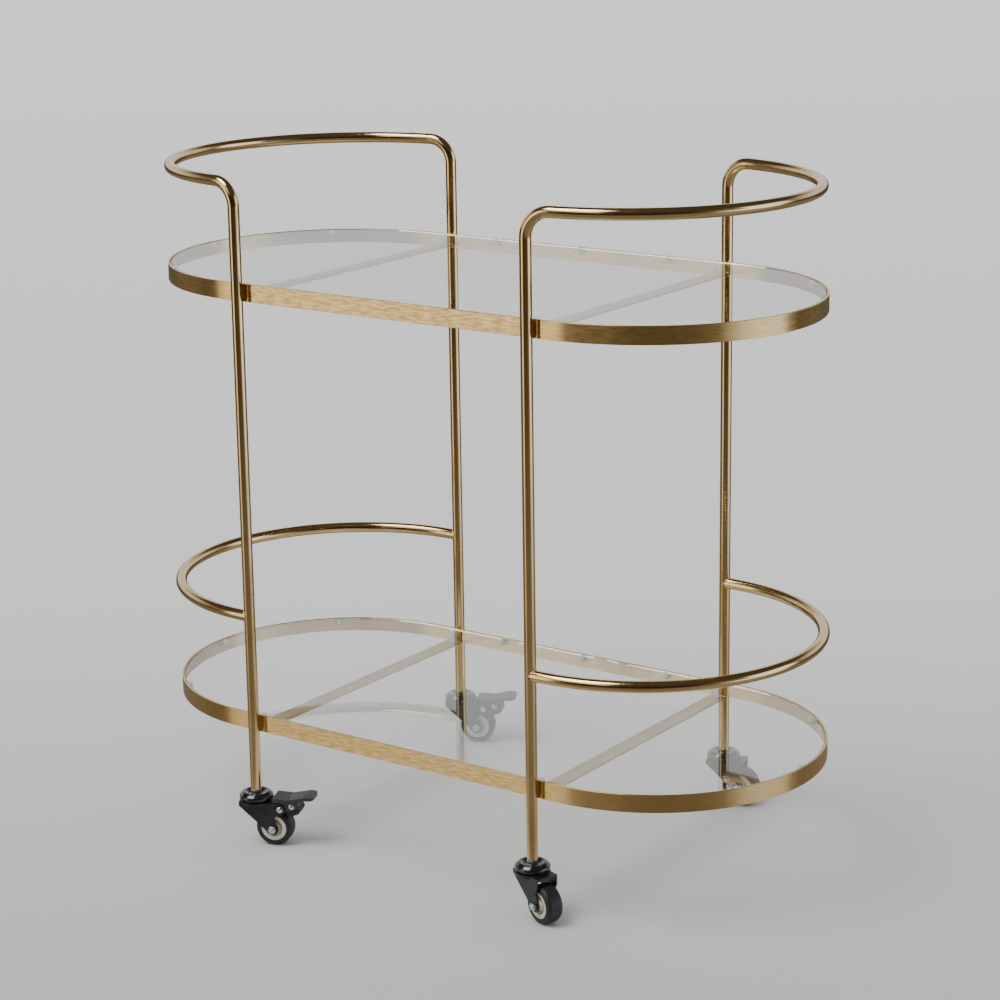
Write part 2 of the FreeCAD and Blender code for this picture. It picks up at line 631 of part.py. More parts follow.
plug = cut("plug", cylinder("plug_rod", "bore_r", "plug_reach", z="leg_foot"),
           cylinder("plug_bore", "stem_d / 2", "plug_reach", z="leg_foot"))
stem = cylinder("stem", "stem_d / 2", "stem_top - stem_foot", z="stem_foot")
lock_nut = cut("lock_nut", hexagon("lock_nut_blank", "nut_flats", "leg_foot - cap_seat", z="cap_seat"),
               cylinder("lock_nut_bore", "stem_d / 2", "leg_foot - cap_seat", z="cap_seat"))
king_z = "crown_z - swivel_play - kingpin_nut"
king_nut = cut("king_nut", hexagon("king_nut_blank", "kingpin_flats", "kingpin_nut", z=king_z),
               cylinder("king_nut_bore", "stem_d / 2", "kingpin_nut", z=king_z))
cap = new_body("cap")
turned(cap, "cap_profile", (
    ("stem_d / 2", "cap_seat"),
    ("cap_dish_r", "cap_seat"),
    ("cap_crown_in", "cap_top"),
    ("cap_crown_out", "cap_top"),
    ("cap_r", "cap_seat - cap_wall / 2"),
    ("cap_r", "cap_skirt"),
    ("cap_r - cap_wall", "cap_skirt"),
    ("cap_r - cap_wall", "cap_seat - cap_wall"),
    ("cap_crown_out - cap_wall / 2", "cap_top - cap_wall"),
    ("cap_crown_in + cap_wall / 2", "cap_top - cap_wall"),
    ("cap_dish_r + cap_wall / 2", "cap_seat - cap_wall"),
    ("stem_d / 2", "cap_seat - cap_wall"),
))
ease(cap, "PartDesign::Fillet", "Radius", "cap_round",
     lambda edge: edge.ZLength < 0.001 and (edge.ZMax > value_of("cap_top") - 0.1
                                        or (edge.ZMax > value_of("cap_seat - cap_wall / 2") - 0.1
                                            and edge.XLength > value_of("2 * cap_r") - 0.5)))


def at_leg(name, thing, sign, across, yaw="0"):
    """A copy of a caster piece with its swivel axis on one leg."""
    return place(group(name, [thing]), x=f"{sign} * leg_x", y=f"{across} * leg_y", yaw=yaw)


for label, thing in (("tube_plugs", plug), ("caster_stems", stem), ("stem_nuts", lock_nut),
                     ("raceway_caps", cap), ("kingpin_nuts", king_nut)):
    copies = [at_leg(f"{label}_{corner}", thing, sign, across) for corner, sign, across, braked in CORNERS]
    node(label, group(label + "_set", copies))

# ---------------------------------------------------------------------------
# Fork: two cheeks under a crown with the lower race, plain or with arms for the brake
# ---------------------------------------------------------------------------


def fork(name, braked):
    body = new_body(name)
    side = new_sketch(body, name + "_side", "XZ_Plane")
    back = [
        ("-cheek_back", "crown_top"),
        ("-cheek_back", "crown_z - cheek_thick"),
        ("trail - 0.66 * axle_lobe_r", "axle_z - 0.75 * axle_lobe_r"),
        ("trail + 0.87 * axle_lobe_r", "axle_z + 0.5 * axle_lobe_r"),
        ("cheek_waist_x", "cheek_waist_z"),
    ]
    plain_front = [
        ("cheek_front", "cheek_waist_z + axle_lobe_r"),
        ("cheek_front", "crown_top"),
    ]
    braked_front = [
        ("pivot_x - 0.1 * pivot_lobe_r", "pivot_z - pivot_lobe_r"),
        ("pivot_x", "pivot_z"),
        ("pivot_x", "crown_top"),
    ]
    polygon(side, back + (braked_front if braked else plain_front))
    pad(body, side, "cheek_out", midplane=True)
    lobes = [("axle", "axle_lobe_r", "trail", "axle_z", "axle_d / 2")]
    if braked:
        lobes.append(("pivot", "pivot_lobe_r", "pivot_x", "pivot_z", "rivet_d / 2"))
    for word, radius, x, z, hole in lobes:
        lobe = new_sketch(body, f"{name}_{word}_lobe", "XZ_Plane")
        circle(lobe, radius, x, z)
        pad(body, lobe, "cheek_out", midplane=True)
    gap = new_sketch(body, name + "_gap", "XZ_Plane")
    reach = "3 * cheek_back"
    if braked:
        opening = [(reach, "crown_top + crown_thick"), ("bridge_front", "crown_top + crown_thick"),
                   ("bridge_front", "crown_z")]
    else:
        opening = [(reach, "crown_z")]
    polygon(gap, [(f"-{reach}", "crown_z"), (f"-{reach}", "0"), (reach, "0")] + opening)
    pocket(body, gap, "cheek_gap")
    turned(body, name + "_crown", (
        ("swivel_bore / 2", "crown_z"),
        ("cap_r", "crown_z"),
        ("cap_r", "crown_top"),
        ("race_r", "crown_top"),
        ("race_r", "race_top"),
        ("swivel_bore / 2", "race_top"),
    ))
    bore = new_sketch(body, name + "_bore", "XY_Plane")
    circle(bore, "swivel_bore / 2")
    pocket(body, bore, "4 * crown_z")
    for word, radius, x, z, hole in lobes:
        drilled = new_sketch(body, f"{name}_{word}_hole", "XZ_Plane")
        circle(drilled, hole, x, z)
        pocket(body, drilled, "2 * cheek_out")
    return body


plain_fork = fork("plain_fork", False)
braked_fork = fork("braked_fork", True)

# Swivel balls between the fork's race and the cap
balls = []
for number in range(12):
    angle = f"{number} * ball_pitch"
    ball = bind(doc.addObject("Part::Sphere", f"ball_{number}"), Radius="ball_d / 2")
    balls.append(place(ball, x=f"ball_ring_r * cos({angle})", y=f"ball_ring_r * sin({angle})", z="ball_z"))
ball_ring = group("ball_ring", balls)

# ---------------------------------------------------------------------------
# Wheel and axle, modelled along Z and laid across the fork
# ---------------------------------------------------------------------------


def across_fork(name, thing, x, z):
    """Lays a piece modelled along Z across the fork, its middle on a given axis."""
    return place(group(name, [thing]), x=x, z=z, roll="-90")


def rivet(name, length):
    """A rivet with a domed head at both ends."""
    shank = cylinder(name + "_shank", "rivet_d / 2", length, z=f"-({length}) / 2")
    heads = [dome(name + "_head", "rivet_head_d", "rivet_head", f"({length}) / 2"),
             dome(name + "_tail", "rivet_head_d", "rivet_head", f"-({length}) / 2", up=False)]
    return fuse(name, [shank] + heads)


axle_end = "(cheek_out / 2 + axle_nut + axle_tail)"
axle = fuse("axle", [
    cylinder("axle_shank", "axle_d / 2", f"{axle_end} + cheek_out / 2", z=f"-{axle_end}"),
    hexagon("axle_hexagon", "axle_flats", "axle_head", z="cheek_out / 2"),
])
axle_lock = cut("axle_lock", hexagon("axle_lock_blank", "axle_flats", "axle_nut", z="-cheek_out / 2 - axle_nut"),
                cylinder("axle_lock_bore", "axle_d / 2", "axle_nut", z="-cheek_out / 2 - axle_nut"))
bush = cut("bush", cylinder("bush_rod", "bush_d / 2", "cheek_gap", z="-cheek_gap / 2"),
           cylinder("bush_bore", "axle_d / 2", "cheek_gap", z="-cheek_gap / 2"))
core = new_body("core")
turned(core, "core_profile", (
    ("hub_bore / 2", "-hub_width / 2"),
    ("hub_r", "-hub_width / 2"),
    ("hub_r", "-web_width / 2"),
    ("ring_r", "-web_width / 2"),
    ("ring_r", "-core_width / 2"),
    ("core_r", "-core_width / 2"),
    ("core_r", "core_width / 2"),
    ("ring_r", "core_width / 2"),
    ("ring_r", "web_width / 2"),
    ("hub_r", "web_width / 2"),
    ("hub_r", "hub_width / 2"),
    ("hub_bore / 2", "hub_width / 2"),
))
tyre = new_body("tyre")
turned(tyre, "tyre_profile", (
    ("core_r", "-wheel_width / 2"),
    ("wheel_d / 2", "-wheel_width / 2"),
    ("wheel_d / 2", "wheel_width / 2"),
    ("core_r", "wheel_width / 2"),
))
ease(tyre, "PartDesign::Fillet", "Radius", "tyre_shoulder",
     lambda edge: edge.ZLength < 0.001 and edge.XLength > value_of("wheel_d") - 4)

# ---------------------------------------------------------------------------
# Brake: pressed pedal with two flanges, toothed shoe, pivot and shoe rivet
# ---------------------------------------------------------------------------

pedal = new_body("pedal")
tread = new_sketch(pedal, "tread", "XZ_Plane")
polygon(tread, (
    ("pedal_start", "pedal_top - pedal_lip"),
    ("pedal_dip", "pedal_top - pedal_lip"),
    ("pedal_crest", "pedal_top + pedal_lift - pedal_lip"),
    ("pedal_tip", "pedal_top + pedal_lift - pedal_lip"),
    ("pedal_tip", "pedal_top + pedal_lift"),
    ("pedal_crest", "pedal_top + pedal_lift"),
    ("pedal_dip", "pedal_top"),
    ("pedal_start", "pedal_top + pedal_heel"),
))
pad(pedal, tread, "pedal_width", midplane=True)
ease(pedal, "PartDesign::Fillet", "Radius", "pedal_sweep",
     lambda edge: edge.YLength > 1
     and value_of("pedal_start") + 1 < edge.XMin < value_of("pedal_tip") - 8)
hollow = new_sketch(pedal, "hollow", "XZ_Plane")
polygon(hollow, (
    ("0", "0"),
    ("pedal_tip - flange_thick", "0"),
    ("pedal_tip - flange_thick", "pedal_under + pedal_lift"),
    ("pedal_crest", "pedal_under + pedal_lift"),
    ("pedal_dip", "pedal_under"),
    ("0", "pedal_under"),
))
pocket(pedal, hollow, "pedal_width - 2 * flange_thick")
ease(pedal, "PartDesign::Fillet", "Radius", "pedal_corner - flange_thick",
     lambda edge: edge.YLength < 0.001
     and abs(edge.XMin - value_of("pedal_tip - flange_thick")) < 0.1 and edge.ZLength > 1)
ease(pedal, "PartDesign::Fillet", "Radius", "pedal_corner",
     lambda edge: edge.YLength < 0.001 and edge.XMin > value_of("pedal_tip") - 0.1 and edge.ZLength > 1)
flange = new_sketch(pedal, "flange", "XZ_Plane")
polygon(flange, (
    ("flange_start", "pedal_under + pedal_thick / 2"),
    ("flange_start", "pivot_z"),
    ("pivot_x", "pivot_z"),
    ("pivot_x + 0.3 * flange_lobe_r", "pivot_z - 0.95 * flange_lobe_r"),
    ("pedal_bend", "flange_foot"),
    ("pedal_bend", "pedal_under + pedal_thick / 2 + flange_rise"),
    ("pedal_dip", "pedal_under + pedal_thick / 2"),
))
pad(pedal, flange, "flange_out", midplane=True)
flange_lobe = new_sketch(pedal, "flange_lobe", "XZ_Plane")
circle(flange_lobe, "flange_lobe_r", "pivot_x", "pivot_z")
pad(pedal, flange_lobe, "flange_out", midplane=True)
channel = new_sketch(pedal, "channel", "XZ_Plane")
polygon(channel, (
    ("0", "0"),
    ("pedal_bend + 1", "0"),
    ("pedal_bend + 1", "pedal_under + flange_rise"),
    ("pedal_bend", "pedal_under + flange_rise"),
    ("pedal_dip", "pedal_under"),
    ("0", "pedal_under"),
))
pocket(pedal, channel, "flange_gap")
pedal_holes = new_sketch(pedal, "pedal_holes", "XZ_Plane")
circle(pedal_holes, "pivot_bore / 2", "pivot_x", "pivot_z")
circle(pedal_holes, "rivet_d / 2", "shoe_x", "shoe_z")
pocket(pedal, pedal_holes, "2 * flange_out")

shoe = new_body("shoe")
block = new_sketch(shoe, "block", "XZ_Plane")
teeth = []
for tooth in range(4):
    foot_x = f"shoe_toe_x + {tooth} * tooth_pitch"
    foot_z = f"shoe_toe_z + {tooth} * tooth_rise"
    teeth.append((foot_x, foot_z))
    teeth.append((f"{foot_x} + tooth_pitch / 2", f"{foot_z} + tooth_depth"))
polygon(block, [("shoe_back", "pedal_under"), ("shoe_back", "shoe_heel_z")] + teeth + [
    ("pedal_bend", "shoe_toe_z + 4 * tooth_rise"),
    ("pedal_bend + tooth_pitch", "shoe_heel_z"),
    ("pedal_bend", "flange_foot + tooth_pitch"),
    ("pedal_bend", "pedal_under + flange_rise"),
    ("pedal_dip", "pedal_under"),
])
pad(shoe, block, "flange_gap", midplane=True)
shoe_hole = new_sketch(shoe, "shoe_hole", "XZ_Plane")
circle(shoe_hole, "rivet_d / 2", "shoe_x", "shoe_z")
pocket(shoe, shoe_hole, "2 * flange_out")

# ---------------------------------------------------------------------------
# Every caster's moving pieces, turned to its rest angle
# ---------------------------------------------------------------------------

ON_AXLE = [(word, across_fork("laid_" + word, thing, "trail", "axle_z"))
           for word, thing in (("axle_bolt", axle), ("axle_nut", axle_lock), ("wheel_bush", bush),
                               ("wheel_core", core), ("tyre", tyre))]
BRAKE = [
    ("brake_pivot", across_fork("laid_pivot", rivet("pivot_rivet", "cheek_out"), "pivot_x", "pivot_z")),
    ("brake_pedal", pedal),
    ("brake_shoe", shoe),
    ("shoe_rivet", across_fork("laid_shoe_rivet", rivet("shoe_rivet", "flange_out"), "shoe_x", "shoe_z")),
]

for corner, sign, across, braked in CORNERS:
    pieces = [("fork", braked_fork if braked else plain_fork), ("ball_ring", ball_ring)] + ON_AXLE
    if braked:
        pieces += BRAKE
    for word, thing in pieces:
        node(f"{corner}_{word}", at_leg(f"{corner}_{word}_set", thing, sign, across, yaw=f"turn_{corner}"))

# ---------------------------------------------------------------------------
# Recompute, check and export, with the origin under the middle of the whole trolley
# ---------------------------------------------------------------------------

doc.recompute()
for thing in doc.Objects:
    if "Invalid" in thing.State or "Error" in thing.State:
        raise RuntimeError(f"{thing.Label} has not recomputed: {thing.State}")

os.makedirs("parts", exist_ok=True)
to_middle = V(0, -value_of("middle_y"), 0)
for thing in NODES:
    shape = thing.Shape.translated(to_middle)
    if shape.isNull() or not shape.isValid() or not shape.Solids:
        raise RuntimeError(f"{thing.Label} is not a valid solid")
    shape.exportStep(f"parts/{thing.Label}.step")
    print(f"{thing.Label}: {len(shape.Solids)} solids, {shape.Volume:.1f} mm3")
print(len(NODES), "nodes")
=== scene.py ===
import math

import bmesh
import bpy
from mathutils import Matrix, Vector


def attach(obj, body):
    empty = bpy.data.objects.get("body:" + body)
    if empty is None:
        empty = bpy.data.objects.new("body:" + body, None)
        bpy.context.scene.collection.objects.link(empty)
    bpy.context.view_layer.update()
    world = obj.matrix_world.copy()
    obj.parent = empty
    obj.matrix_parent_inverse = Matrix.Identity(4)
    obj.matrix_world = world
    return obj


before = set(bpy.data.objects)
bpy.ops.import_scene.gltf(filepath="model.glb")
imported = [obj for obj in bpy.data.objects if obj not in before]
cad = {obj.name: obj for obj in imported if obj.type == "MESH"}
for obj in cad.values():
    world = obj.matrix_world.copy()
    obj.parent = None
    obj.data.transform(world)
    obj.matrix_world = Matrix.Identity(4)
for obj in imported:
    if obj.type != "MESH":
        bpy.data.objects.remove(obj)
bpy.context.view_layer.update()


# ---------------------------------------------------------------------------
# Camera. It stands at the front right of the trolley, 15 degrees above the level, 3.9 m away,
# with a long lens, as the perspective of the legs and shelves gives it.
# ---------------------------------------------------------------------------

AZIMUTH = math.radians(35.32)
ELEVATION = math.radians(14.97)
ROLL = math.radians(-0.84)
DISTANCE = 3.899
AIM_SIDE = 0.0151
AIM_HEIGHT = 0.4901
MIDDLE_OF_LEGS = -0.009
FOCAL_PIXELS = 2726
PICTURE_PIXELS = 1000
SENSOR_WIDTH = 36

to_camera = Vector((math.sin(AZIMUTH) * math.cos(ELEVATION),
                    -math.cos(AZIMUTH) * math.cos(ELEVATION),
                    math.sin(ELEVATION)))
level_right = Vector((math.cos(AZIMUTH), math.sin(AZIMUTH), 0))
level_up = to_camera.cross(level_right)
view_right = level_right * math.cos(ROLL) + level_up * math.sin(ROLL)
view_up = level_up * math.cos(ROLL) - level_right * math.sin(ROLL)
aim = level_right * AIM_SIDE + Vector((0, MIDDLE_OF_LEGS, AIM_HEIGHT))

lens = bpy.data.cameras.new("long_lens")
lens.sensor_width = SENSOR_WIDTH
lens.lens = FOCAL_PIXELS / PICTURE_PIXELS * SENSOR_WIDTH
lens.clip_end = 200
camera = bpy.data.objects.new("camera", lens)
bpy.context.scene.collection.objects.link(camera)
turn = Matrix((view_right, view_up, to_camera)).transposed().to_4x4()
camera.matrix_world = Matrix.Translation(aim + to_camera * DISTANCE) @ turn
bpy.context.scene.camera = camera


# ---------------------------------------------------------------------------
# Studio. A pale grey paper sweep, its tone painted lighter to the back as painted light, under even
# light with a soft key from the upper left. The brass and the glass mirror a dark, warm room with
# tall strip lights and grey panels around it.
# ---------------------------------------------------------------------------

# The sweep's pale grey, rising from near to far: painted light standing in for the back of the sweep being
# lit more
SWEEP_NEAR_PAINTED_LIGHT = (0.517, 0.515, 0.513, 1)
SWEEP_MIDDLE_PAINTED_LIGHT = (0.702, 0.70, 0.698, 1)
SWEEP_FAR_PAINTED_LIGHT = (0.832, 0.83, 0.828, 1)
BACKDROP = (0.60, 0.60, 0.60, 1)
FILL_LEVEL = 0.76
KEY_STRENGTH = 2.0
KEY_SOFTNESS = math.radians(34)
ROOM = (0.025, 0.020, 0.011)
ROOM_FLOOR = (0.062, 0.043, 0.018)
SIDE = (0.10, 0.088, 0.065)
PANEL = (0.22, 0.20, 0.16)
STRIP = (1.75, 1.95, 2.35)
LEFT_STRIP = (1.80, 1.72, 1.50)
CEILING = (0.07, 0.06, 0.05)
SOFTBOX = (1.3, 1.35, 1.4)
BEHIND = (0.92, 0.92, 0.91)
PAPER = (0.25, 0.235, 0.20)
LIT_PAPER = (0.30, 0.29, 0.26)
# What stands around the trolley: degrees to the right of the camera's side, and the tone there
STUDIO_RING = ((-180, SIDE), (-92, SIDE), (-86, PANEL), (-80, LEFT_STRIP), (-63, LEFT_STRIP),
               (-56, PANEL), (-47, ROOM_FLOOR), (8, ROOM_FLOOR), (26, SIDE), (42, PANEL), (60, STRIP),
               (88, STRIP), (97, PANEL), (106, SIDE), (180, SIDE))
UPPER_RING = ((-180, BEHIND), (-125, BEHIND), (-100, PANEL), (-88, PANEL), (-80, LEFT_STRIP),
              (-63, LEFT_STRIP), (-56, PANEL), (-45, ROOM), (30, ROOM), (50, PANEL), (62, PANEL),
              (68, STRIP), (98, STRIP), (104, PANEL), (125, BEHIND), (180, BEHIND))
PAPER_RING = ((-180, PAPER), (-95, PAPER), (-80, LIT_PAPER), (-62, LIT_PAPER), (-45, PAPER),
              (25, PAPER), (60, LIT_PAPER), (90, LIT_PAPER), (105, PAPER), (180, PAPER))
# How much of a tone there is at a direction's height, where 0 is level and 1 straight up
UPPER_SHARE = ((0.0, 0.0), (0.03, 1.0))
CEILING_SHARE = ((0.35, 0.0), (0.55, 1.0))
SOFTBOX_HEIGHT = ((0.40, 0.0), (0.44, 1.0), (0.68, 1.0), (0.72, 0.0))
# The same at a direction's depth below level
PAPER_SHARE = ((0.18, 0.0), (0.235, 0.25), (0.27, 0.55), (0.33, 0.95))
# The softbox's stretch of the turn around the trolley, from 0 behind it by the left to 1
SOFTBOX_SIDE = ((0.32, 0.0), (0.34, 1.0), (0.42, 1.0), (0.44, 0.0))
SWEEP_HALF = 60
SWEEP_GRID = 8
# Metres to the back of the middle at which the sweep has its near, middle and far tone, painted lighter to
# the back as painted light
NEAR_AT = -0.6
MIDDLE_AT = 1.1
FAR_AT = 12
BACK_SPAN = 0.05
BACK_START = 0.1
# Metres from the middle between which the sweep stops showing in the metal
MIRRORED_TO = 0.4
MIRRORED_NO_MORE = 0.56
REACH_SPAN = 0.1
FIBRE_SCALE = 900
FIBRE_STRENGTH = 0.02
KEY_FROM = -level_right * 0.75 + to_camera * 0.35 + Vector((0, 0, 1.35))


def link(tree, source, target):
    tree.links.new(source, target)


def math_node(tree, operation, *values):
    """A Math node whose inputs are numbers or other nodes' outputs."""
    node = tree.nodes.new("ShaderNodeMath")
    node.operation = operation
    for socket, value in zip(node.inputs, values):
        if isinstance(value, (int, float)):
            socket.default_value = value
        else:
            link(tree, value, socket)
    return node.outputs[0]


def ramp(tree, factor, stops):
    """A colour ramp from (position, grey or colour) stops."""
    node = tree.nodes.new("ShaderNodeValToRGB")
    elements = node.color_ramp.elements
    while len(elements) < len(stops):
        elements.new(0.5)
    for element, (position, colour) in zip(elements, stops):
        element.position = position
        grey = isinstance(colour, (int, float))
        element.color = (colour, colour, colour, 1) if grey else (*colour[:3], 1)
    link(tree, factor, node.inputs[0])
    return node.outputs[0]


def along(tree, vector, axis):
    """How far a vector reaches along an axis."""
    dot = tree.nodes.new("ShaderNodeVectorMath")
    dot.operation = "DOT_PRODUCT"
    dot.inputs[1].default_value = axis
    link(tree, vector, dot.inputs[0])
    return dot.outputs["Value"]


def blend_tones(tree, factor, first, second):
    """Two colours mixed by a factor; either may be a plain colour."""
    mix = tree.nodes.new("ShaderNodeMix")
    mix.data_type = "RGBA"
    link(tree, factor, mix.inputs[0])
    for socket, tone in ((mix.inputs[6], first), (mix.inputs[7], second)):
        if isinstance(tone, tuple):
            socket.default_value = (*tone[:3], 1)
        else:
            link(tree, tone, socket)
    return mix.outputs[2]


toward_camera_side = Vector((level_right.y, -level_right.x, 0))


def studio_world():
    """Even fill for matt surfaces, the room for mirrored rays and a plain backdrop for the eye."""
    world = bpy.data.worlds.new("studio")
    bpy.context.scene.world = world
    world.use_nodes = True
    tree = world.node_tree
    tree.nodes.clear()
    direction = tree.nodes.new("ShaderNodeTexCoord").outputs["Generated"]
    around = math_node(tree, "ARCTAN2", along(tree, direction, level_right),
                       along(tree, direction, toward_camera_side))
    share = math_node(tree, "MULTIPLY_ADD", around, 1 / (2 * math.pi), 0.5)
    rings = [ramp(tree, share, [(degrees / 360 + 0.5, tone) for degrees, tone in ring])
             for ring in (STUDIO_RING, UPPER_RING, PAPER_RING)]
    height = along(tree, direction, Vector((0, 0, 1)))
    depth = math_node(tree, "MULTIPLY", height, -1)
    walls = blend_tones(tree, ramp(tree, height, UPPER_SHARE), rings[0], rings[1])
    ceiled = blend_tones(tree, ramp(tree, height, CEILING_SHARE), walls, CEILING)
    room = blend_tones(tree, ramp(tree, depth, PAPER_SHARE), ceiled, rings[2])
    softbox = math_node(tree, "MULTIPLY", ramp(tree, share, SOFTBOX_SIDE), ramp(tree, height, SOFTBOX_HEIGHT))
    lamps = blend_tones(tree, softbox, room, SOFTBOX)
    rays = tree.nodes.new("ShaderNodeLightPath").outputs
    seen = tree.nodes.new("ShaderNodeBackground")
    seen.inputs[0].default_value = BACKDROP
    fill = tree.nodes.new("ShaderNodeBackground")
    fill.inputs[0].default_value = (FILL_LEVEL, FILL_LEVEL, FILL_LEVEL, 1)
    mirrored = tree.nodes.new("ShaderNodeBackground")
    link(tree, lamps, mirrored.inputs[0])
    lit = tree.nodes.new("ShaderNodeMixShader")
    link(tree, rays["Is Glossy Ray"], lit.inputs[0])
    link(tree, fill.outputs[0], lit.inputs[1])
    link(tree, mirrored.outputs[0], lit.inputs[2])
    shown = tree.nodes.new("ShaderNodeMixShader")
    unmirrored = math_node(tree, "LESS_THAN", rays["Glossy Depth"], 0.5)
    through = math_node(tree, "MULTIPLY", rays["Is Transmission Ray"], unmirrored)
    plain = math_node(tree, "MAXIMUM", rays["Is Camera Ray"], through)
    link(tree, plain, shown.inputs[0])
    link(tree, lit.outputs[0], shown.inputs[1])
    link(tree, seen.outputs[0], shown.inputs[2])
    output = tree.nodes.new("ShaderNodeOutputWorld")
    link(tree, shown.outputs[0], output.inputs[0])


def sweep_floor():
    """A matt floor whose tone is painted lighter to the back as painted light; mirrored rays see it near the
    trolley only.
    """
    mesh = bpy.data.meshes.new("sweep")
    form = bmesh.new()
    bmesh.ops.create_grid(form, x_segments=SWEEP_GRID, y_segments=SWEEP_GRID, size=SWEEP_HALF)
    form.to_mesh(mesh)
    form.free()
    floor = bpy.data.objects.new("sweep", mesh)
    bpy.context.scene.collection.objects.link(floor)
    paper = bpy.data.materials.new("sweep_paper_painted_light")
    paper.use_nodes = True
    tree = paper.node_tree
    tree.nodes.clear()
    place = tree.nodes.new("ShaderNodeTexCoord").outputs["Object"]
    # Painted light: the floor's colour rises toward the back in place of the back being lit more
    back = math_node(tree, "MULTIPLY_ADD", along(tree, place, -toward_camera_side), BACK_SPAN, BACK_START)
    tone = ramp(tree, back, [(metres * BACK_SPAN + BACK_START, grey) for metres, grey in
                             ((NEAR_AT, SWEEP_NEAR_PAINTED_LIGHT), (MIDDLE_AT, SWEEP_MIDDLE_PAINTED_LIGHT), (FAR_AT, SWEEP_FAR_PAINTED_LIGHT))])
    length = tree.nodes.new("ShaderNodeVectorMath")
    length.operation = "LENGTH"
    link(tree, place, length.inputs[0])
    reach = math_node(tree, "MULTIPLY", length.outputs["Value"], REACH_SPAN)
    fibre = tree.nodes.new("ShaderNodeTexNoise")
    fibre.inputs["Scale"].default_value = FIBRE_SCALE
    link(tree, place, fibre.inputs["Vector"])
    bump = tree.nodes.new("ShaderNodeBump")
    bump.inputs["Strength"].default_value = FIBRE_STRENGTH
    link(tree, fibre.outputs[0], bump.inputs["Height"])
    matt = tree.nodes.new("ShaderNodeBsdfDiffuse")
    link(tree, tone, matt.inputs[0])
    link(tree, bump.outputs[0], matt.inputs["Normal"])
    rays = tree.nodes.new("ShaderNodeLightPath").outputs
    away = ramp(tree, reach, ((MIRRORED_TO * REACH_SPAN, 0.0), (MIRRORED_NO_MORE * REACH_SPAN, 1.0)))
    reflected = math_node(tree, "GREATER_THAN", rays["Is Glossy Ray"], rays["Is Transmission Ray"])
    past = math_node(tree, "MULTIPLY", away, reflected)
    open_room = tree.nodes.new("ShaderNodeBsdfTransparent")
    mix = tree.nodes.new("ShaderNodeMixShader")
    link(tree, past, mix.inputs[0])
    link(tree, matt.outputs[0], mix.inputs[1])
    link(tree, open_room.outputs[0], mix.inputs[2])
    output = tree.nodes.new("ShaderNodeOutputMaterial")
    link(tree, mix.outputs[0], output.inputs[0])
    mesh.materials.append(paper)


def key_light():
    sun = bpy.data.lights.new("key", "SUN")
    sun.energy = KEY_STRENGTH
    sun.angle = KEY_SOFTNESS
    lamp = bpy.data.objects.new("key", sun)
    bpy.context.scene.collection.objects.link(lamp)
    lamp.rotation_mode = "QUATERNION"
    lamp.rotation_quaternion = KEY_FROM.to_track_quat("Z", "Y")


studio_world()
sweep_floor()
key_light()


# ---------------------------------------------------------------------------
# End frames. Each is one brass-plated steel tube, bent from leg to push handle and down again,
# satin polished, with the faint long wipe marks and clouding that handling leaves.
# ---------------------------------------------------------------------------

BRASS_LIGHT = (0.78, 0.565, 0.285)
BRASS_DARK = (0.69, 0.485, 0.23)
GRAIN_LOW = 0.3
GRAIN_HIGH = 0.7
WELD_REACH = 1e-6
EDGE_SEGMENTS = 3


def finish(name, colour, roughness, metallic=0.0, **sockets):
    """A material with its plain values set on the shader's own sockets."""
    material = bpy.data.materials.new(name)
    material.use_nodes = True
    shader = material.node_tree.nodes["Principled BSDF"]
    shader.inputs["Base Color"].default_value = (*colour, 1)
    shader.inputs["Roughness"].default_value = roughness
    shader.inputs["Metallic"].default_value = metallic
    for socket, value in sockets.items():
        shader.inputs[socket.replace("_", " ")].default_value = value
    return material


def grain(material, scale, stretch=(1, 1, 1), detail=4.0):
    """Noise laid out in metres over the piece, drawn out along the axes with small stretch."""
    tree = material.node_tree
    place = tree.nodes.new("ShaderNodeTexCoord")
    mapping = tree.nodes.new("ShaderNodeMapping")
    mapping.inputs["Scale"].default_value = stretch
    noise = tree.nodes.new("ShaderNodeTexNoise")
    noise.inputs["Scale"].default_value = scale
    noise.inputs["Detail"].default_value = detail
    link(tree, place.outputs["Object"], mapping.inputs["Vector"])
    link(tree, mapping.outputs[0], noise.inputs["Vector"])
    return noise.outputs[0]


def tint(material, factor, stops):
    """Colours the material by a grain."""
    shader = material.node_tree.nodes["Principled BSDF"]
    link(material.node_tree, ramp(material.node_tree, factor, stops), shader.inputs["Base Color"])


def sheen_range(material, factor, low, high):
    """Lets the roughness wander between two values by a grain."""
    tree = material.node_tree
    spread = tree.nodes.new("ShaderNodeMapRange")
    spread.inputs["From Min"].default_value = GRAIN_LOW
    spread.inputs["From Max"].default_value = GRAIN_HIGH
    spread.inputs["To Min"].default_value = low
    spread.inputs["To Max"].default_value = high
    link(tree, factor, spread.inputs["Value"])
    link(tree, spread.outputs[0], tree.nodes["Principled BSDF"].inputs["Roughness"])


def relief(material, factor, depth, strength):
    """Raises the surface by a grain, depth in metres."""
    tree = material.node_tree
    bump = tree.nodes.new("ShaderNodeBump")
    bump.inputs["Strength"].default_value = strength
    bump.inputs["Distance"].default_value = depth
    link(tree, factor, bump.inputs["Height"])
    link(tree, bump.outputs[0], tree.nodes["Principled BSDF"].inputs["Normal"])


def dress(names, material, edge=0.0, angle=30):
    """Gives CAD pieces their finish, with their edges broken by a small radius where asked."""
    for name in names:
        piece = cad[name]
        piece.data.materials.clear()
        piece.data.materials.append(material)
        if edge:
            weld = piece.modifiers.new("closed", "WELD")
            weld.merge_threshold = WELD_REACH
            bevel = piece.modifiers.new("broken_edges", "BEVEL")
            bevel.width = edge
            bevel.segments = EDGE_SEGMENTS
            bevel.limit_method = "ANGLE"
            bevel.angle_limit = math.radians(angle)
            bevel.harden_normals = False


